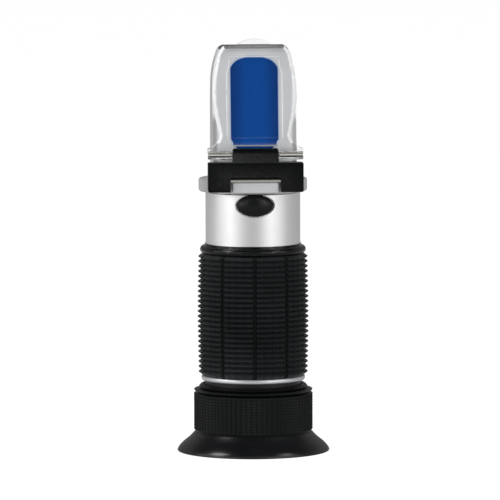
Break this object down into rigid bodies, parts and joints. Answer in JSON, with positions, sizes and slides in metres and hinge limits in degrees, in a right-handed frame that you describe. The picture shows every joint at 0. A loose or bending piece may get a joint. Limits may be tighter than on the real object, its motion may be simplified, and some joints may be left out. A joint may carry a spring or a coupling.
{
  "type": "handheld refractometer",
  "caption": "Eye-level refractometer: lean-back blue prism under a double-hinged clear plate, silver barrel, ribbed grip, knurled focus ring and flared eyecup.",
  "frame": {"origin": "centre of the eyecup's rim plane, on which the instrument stands", "axes": "+Z along the barrel to the prism end, -Y to the front with the daylight plate, +X to the right seen from the front"},
  "size_m": [0.0488, 0.0488, 0.1326],
  "materials": {
    "soft_rubber": "smooth semi-gloss moulded rubber",
    "ring_black": "moulded black, fine knurl",
    "anodised_black": "matt black anodised",
    "nylon_white": "natural nylon",
    "lens_glass": "polished optical glass",
    "polished_metal": "polished bright ring",
    "brushed_aluminium": "brushed round the axis",
    "grip_rubber": "matt ribbed rubber",
    "bimetal": "rolled strip",
    "brass_screw": "turned brass",
    "plug_rubber": "smooth domed rubber",
    "seal_rubber": "flat seal",
    "satin_metal": "satin plated casting",
    "blue_glass": "polished deep blue glass",
    "pale_sealant": "pale silicone bead",
    "bright_steel": "drawn steel pin",
    "arm_plastic": "moulded black plastic",
    "clear_acrylic": "clear moulded acrylic"
  },
  "bodies": {
    "barrel": {"barrel_tube": "brushed_aluminium", "head_block": "satin_metal", "head_gasket": "seal_rubber", "prism": "blue_glass", "prism_gasket": "pale_sealant", "hinge_rod": "bright_steel", "grip_sleeve": "grip_rubber", "trim_ring": "polished_metal", "focus_bush": "anodised_black", "field_stop": "anodised_black", "objective_cell": "anodised_black", "objective_lens": "lens_glass", "objective_retainer": "anodised_black", "bimetal_strip": "bimetal", "baffle": "anodised_black", "reticle_cell": "anodised_black", "reticle": "lens_glass", "reticle_ring": "anodised_black"},
    "focus_carrier": {"friction_ring": "nylon_white"},
    "eyepiece": {"eyepiece_tube": "anodised_black", "focus_ring": "ring_black", "eyecup": "soft_rubber", "eye_lens": "lens_glass", "lens_spacer": "anodised_black", "field_lens": "lens_glass", "lens_retainer": "anodised_black"},
    "arm": {"hinge_arm": "arm_plastic", "plate_pin": "bright_steel"},
    "plate": {"daylight_plate": "clear_acrylic"},
    "zero_screw": {"calibration_screw": "brass_screw"},
    "plug": {"screw_plug": "plug_rubber"}
  },
  "joints": [
    {"name": "arm_hinge", "type": "hinge", "parent": "barrel", "child": "arm", "pos_m": [0, -0.0182, 0.0883], "axis": [1, 0, 0], "range_deg": [0, 90]},
    {"name": "plate_hinge", "type": "hinge", "parent": "arm", "child": "plate", "pos_m": [0, -0.0174, 0.0965], "axis": [1, 0, 0], "range_deg": [0, 60]},
    {"name": "focus_travel", "type": "slide", "parent": "barrel", "child": "focus_carrier", "axis": [0, 0, 1], "range_m": [-0.0025, 0.001]},
    {"name": "focus_turn", "type": "hinge", "parent": "focus_carrier", "child": "eyepiece", "pos_m": [0, 0, 0.02], "axis": [0, 0, 1], "range_deg": [-225, 90]},
    {"name": "zero_screw_turn", "type": "hinge", "parent": "barrel", "child": "zero_screw", "pos_m": [0, -0.012, 0.0799], "axis": [0, -1, 0], "range_deg": [-180, 180]},
    {"name": "plug_pull", "type": "slide", "parent": "barrel", "child": "plug", "axis": [0, -1, 0], "range_m": [0, 0.006]}
  ],
  "couplings": [
    {"joint": "focus_travel", "follows": "focus_turn", "m_per_rad": 0.00063662}
  ]
}
